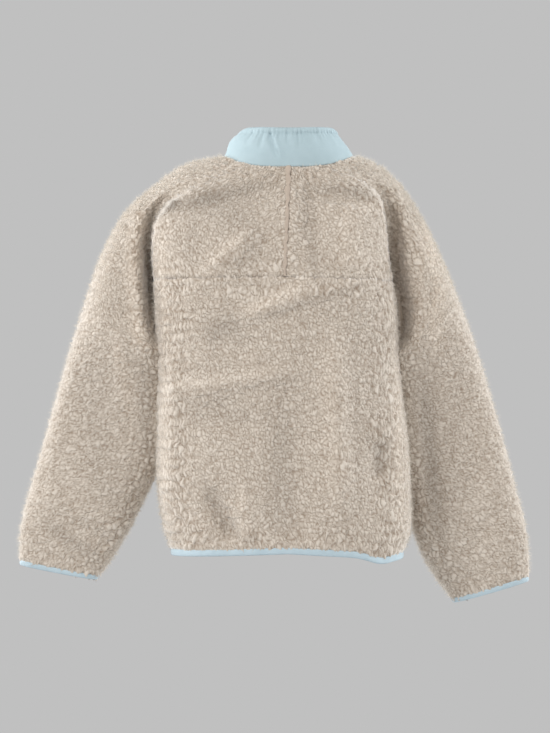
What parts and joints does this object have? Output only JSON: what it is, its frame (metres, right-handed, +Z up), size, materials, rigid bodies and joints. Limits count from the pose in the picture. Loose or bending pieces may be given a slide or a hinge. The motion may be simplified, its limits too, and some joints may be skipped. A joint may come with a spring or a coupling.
{
  "type": "fleece jacket",
  "caption": "Hollow raglan-sleeve sherpa fleece jacket with a woven stand collar, back yoke, bound hem and cuffs and a closed front zip.",
  "frame": {"origin": "centre of the neck opening at the height where the collar meets the shoulders, the place the jacket hangs on its wearer or form", "axes": "+X to the wearer's left, +Y to the wearer's back, +Z up; the front faces -Y"},
  "size_m": [0.858, 0.2527, 0.7929],
  "materials": {
    "fleece": "deep curly pile, oatmeal, matt",
    "woven": "light plain woven cloth, pale blue, slightly smooth",
    "binding": "knitted binding tape, pale blue, matt",
    "tape": "flat woven tape, taupe, matt",
    "resin": "moulded zip teeth, taupe, satin",
    "metal": "painted slider and tab, taupe, satin"
  },
  "bodies": {
    "jacket": {"back_lower": "fleece", "back_yoke_left": "fleece", "back_yoke_right": "fleece", "front_left": "fleece", "front_right": "fleece", "sleeve_left": "fleece", "sleeve_right": "fleece", "collar": "woven", "hem_binding": "binding", "cuff_binding_left": "binding", "cuff_binding_right": "binding", "centre_back_tape": "tape", "zip_tape_left": "tape", "zip_tape_right": "tape", "zip_chain": "resin", "zip_slider": "metal"},
    "pull": {"zip_pull": "metal"}
  },
  "joints": [
    {"name": "pull_swing", "type": "hinge", "parent": "jacket", "child": "pull", "pos_m": [-0.00007, -0.07605, -0.02098], "axis": [-1, 0, 0], "range_deg": [0, 160]}
  ]
}
